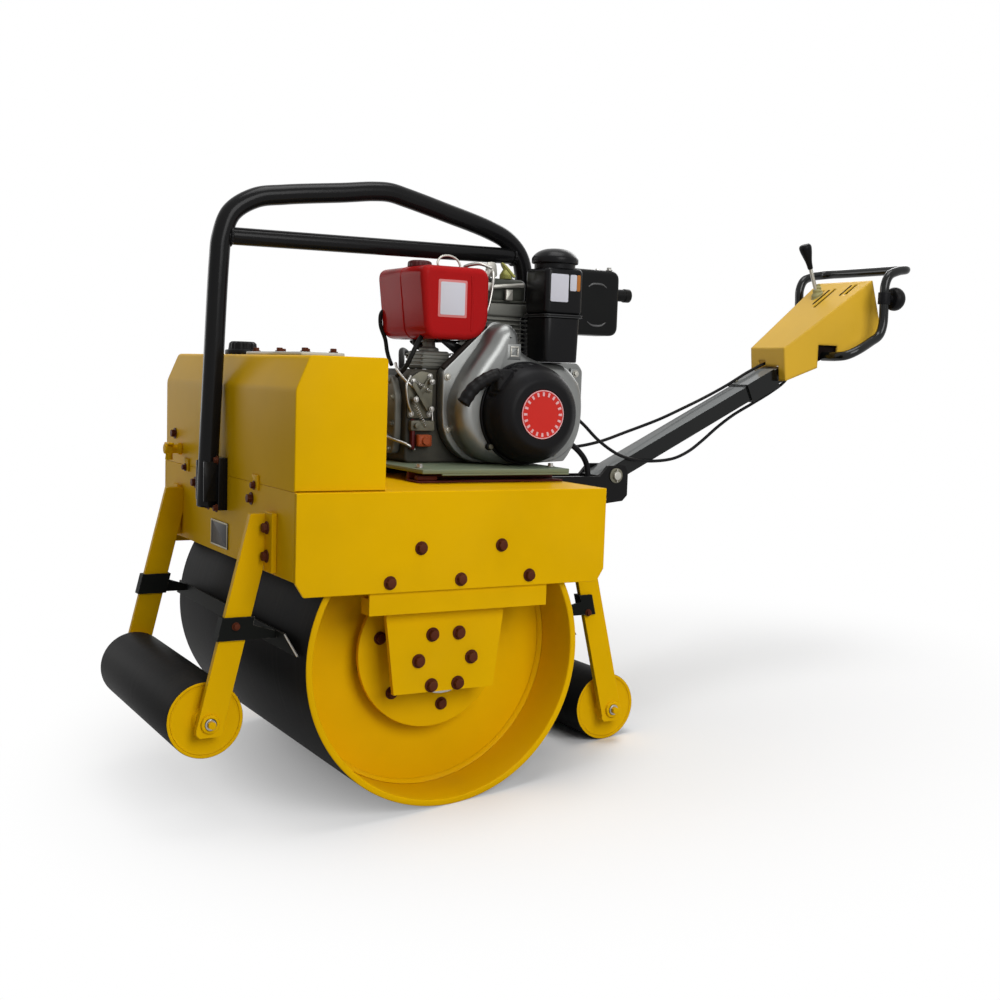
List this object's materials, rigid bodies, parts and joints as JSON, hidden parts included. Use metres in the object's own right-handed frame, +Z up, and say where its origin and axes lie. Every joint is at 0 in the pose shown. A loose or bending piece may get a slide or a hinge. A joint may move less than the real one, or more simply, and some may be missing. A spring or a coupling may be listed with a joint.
{
  "type": "walk-behind single-drum road roller",
  "caption": "Walk-behind road roller: one wide smooth drum between bolted side plates, a small support roller at each end, an exposed diesel engine and a hinged drawbar with a console.",
  "frame": {"origin": "middle of the bounding box, on the ground", "axes": "+Z up, the machine's front faces -Y, the handle reaches towards +Y, +X is the side with the recoil starter; the chassis leans back about X by 5.5 degrees and stands on the drum and the rear roller"},
  "size_m": [0.7524, 1.8442, 1.1138],
  "materials": {
    "yellow_paint": "glossy yellow paint",
    "console_paint": "yellow paint",
    "roller_steel": "dull charcoal paint",
    "black_paint": "satin black paint",
    "black_plastic": "grained black",
    "rubber": "black sheath",
    "red_paint": "glossy red paint",
    "cast_alloy": "die-cast, satin",
    "steel": "turned steel",
    "rail_paint": "pale green-grey paint"
  },
  "bodies": {
    "chassis": {"side_plate_left": "yellow_paint", "side_plate_right": "yellow_paint", "front_plate": "yellow_paint", "rear_plate": "yellow_paint", "deck_plate": "yellow_paint", "water_tank": "yellow_paint", "water_tank_cap": "black_plastic", "drain_tap": "yellow_paint", "lifting_frame": "black_paint", "hub_bracket_left": "yellow_paint", "hub_bracket_right": "yellow_paint", "stub_axle_left": "steel", "stub_axle_right": "steel", "front_arm_left": "yellow_paint", "front_arm_right": "yellow_paint", "front_roller_axle": "steel", "front_scraper": "black_paint", "rear_arm_left": "yellow_paint", "rear_arm_right": "yellow_paint", "rear_roller_axle": "steel", "rear_scraper": "black_paint", "engine_base": "rail_paint", "crankcase": "cast_alloy", "cylinder": "cast_alloy", "rocker_cover": "steel", "injection_pump": "cast_alloy", "fan_shroud": "cast_alloy", "recoil_starter": "black_plastic", "starter_grip": "black_plastic", "fuel_tank": "red_paint", "fuel_cap": "black_plastic", "air_cleaner": "black_plastic", "muffler": "black_paint", "pump_bell_housing": "cast_alloy", "hydraulic_pump": "black_paint", "handle_bracket": "black_paint", "handle_pin": "steel", "throttle_cable": "rubber", "stop_cable": "rubber", "hydraulic_hose": "rubber"},
    "drum": {"drum_shell": "roller_steel", "drum_web_left": "yellow_paint", "drum_web_right": "yellow_paint", "hub_disc_left": "yellow_paint", "hub_disc_right": "yellow_paint"},
    "front_small_roller": {"front_roller": "roller_steel", "front_roller_end_left": "yellow_paint", "front_roller_end_right": "yellow_paint"},
    "rear_small_roller": {"rear_roller": "roller_steel", "rear_roller_end_left": "yellow_paint", "rear_roller_end_right": "yellow_paint"},
    "handle": {"drawbar": "black_paint", "console": "console_paint", "handlebar": "black_paint", "shift_lever": "steel", "lever_grip": "black_plastic", "control_knob": "black_plastic"}
  },
  "joints": [
    {"name": "drum_spin", "type": "hinge", "parent": "chassis", "child": "drum", "pos_m": [0, -0.45455, 0.26496], "axis": [1, 0, 0], "continuous": true},
    {"name": "front_roller_spin", "type": "hinge", "parent": "chassis", "child": "front_small_roller", "pos_m": [0, -0.8556, 0.2], "axis": [1, 0, 0], "continuous": true},
    {"name": "rear_roller_spin", "type": "hinge", "parent": "chassis", "child": "rear_small_roller", "pos_m": [0, -0.04565, 0.06646], "axis": [1, 0, 0], "continuous": true},
    {"name": "handle_tilt", "type": "hinge", "parent": "chassis", "child": "handle", "pos_m": [0, 0.13042, 0.4981], "axis": [1, 0, 0], "range_deg": [0, 55], "deforming": ["throttle_cable", "stop_cable"]}
  ]
}
